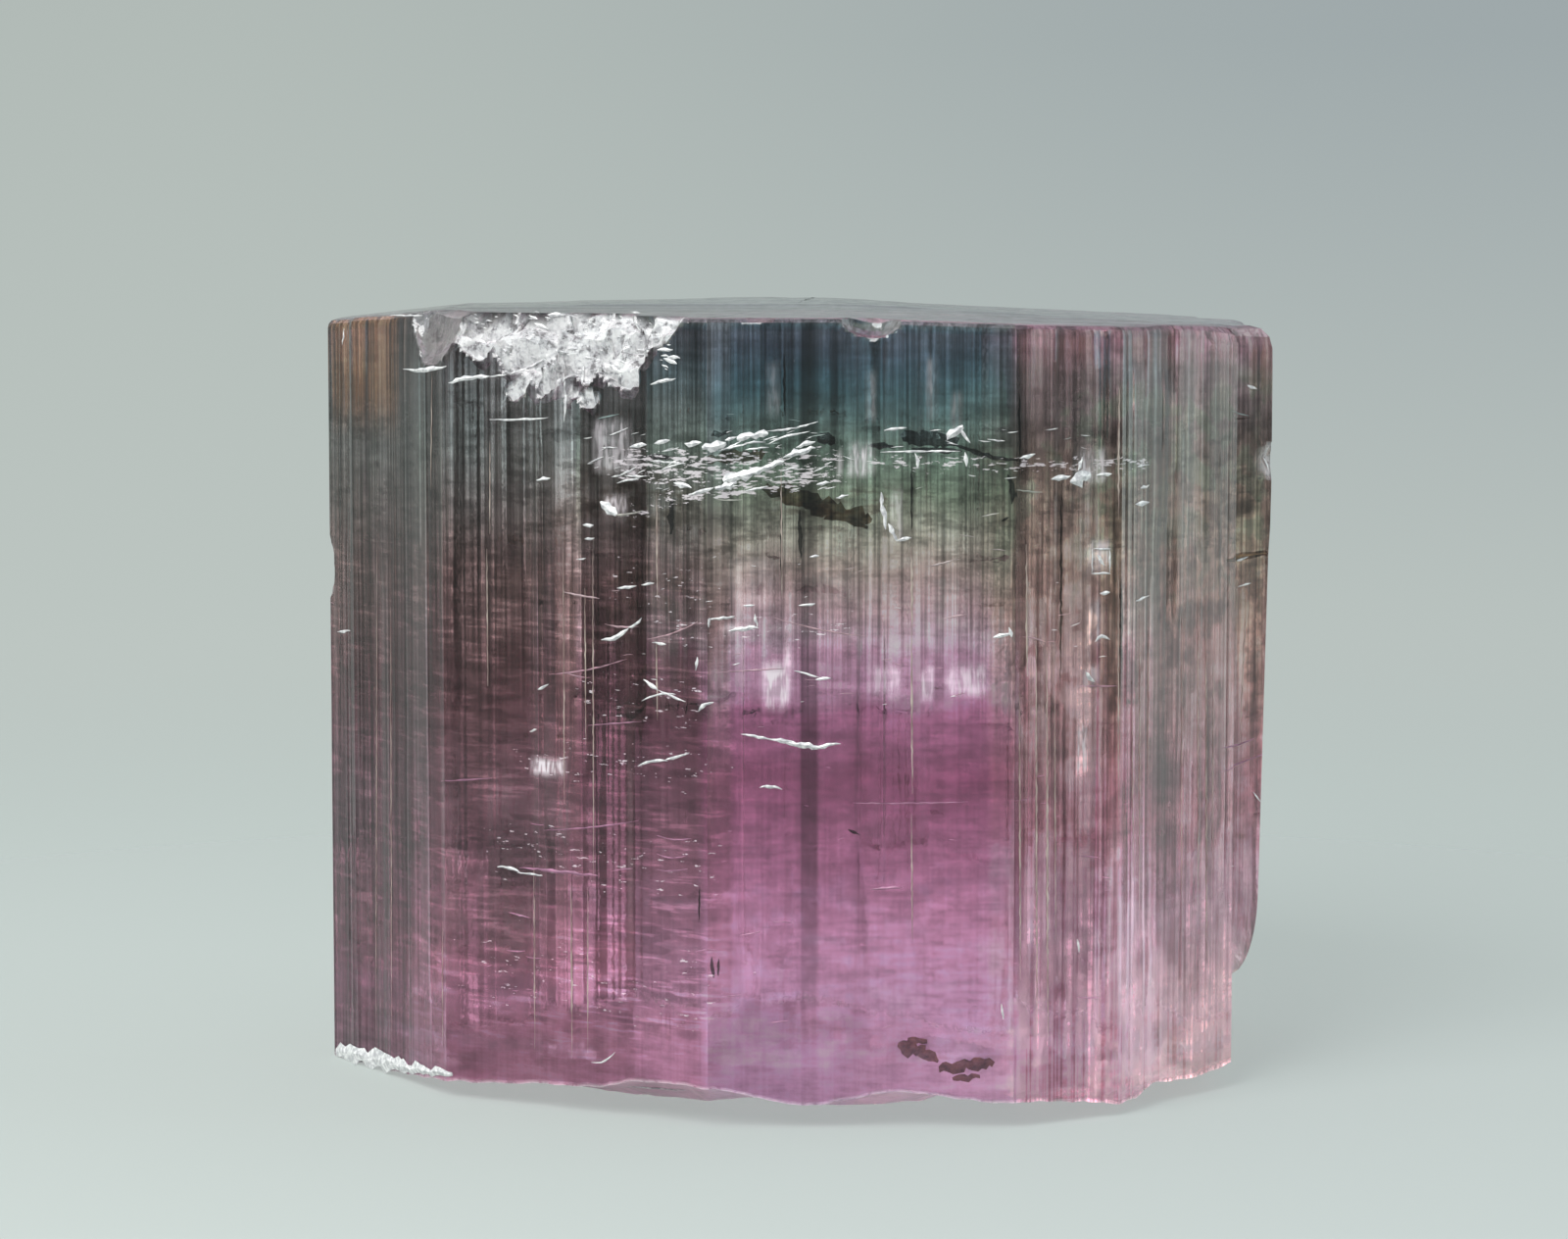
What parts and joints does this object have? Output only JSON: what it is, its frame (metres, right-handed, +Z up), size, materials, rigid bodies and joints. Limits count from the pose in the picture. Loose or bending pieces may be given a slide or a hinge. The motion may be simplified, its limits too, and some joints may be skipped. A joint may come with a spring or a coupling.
{
  "type": "tourmaline crystal",
  "caption": "Stubby striated prism of clear pink tourmaline with a green zone and a dark blue top, flat termination with chipped edge, and an uneven broken base that it stands on.",
  "frame": {"origin": "on the prism's long axis, in the plane that the broken base rests on", "axes": "+Z up along the crystal's long axis, +X to the right of the clear front face, +Y to the back"},
  "size_m": [0.0237, 0.021, 0.0194],
  "materials": {
    "tourmaline": "glossy and striated along the length, clear to cloudy, with white broken edges"
  },
  "bodies": {
    "root": {"crystal": "tourmaline"}
  },
  "joints": []
}
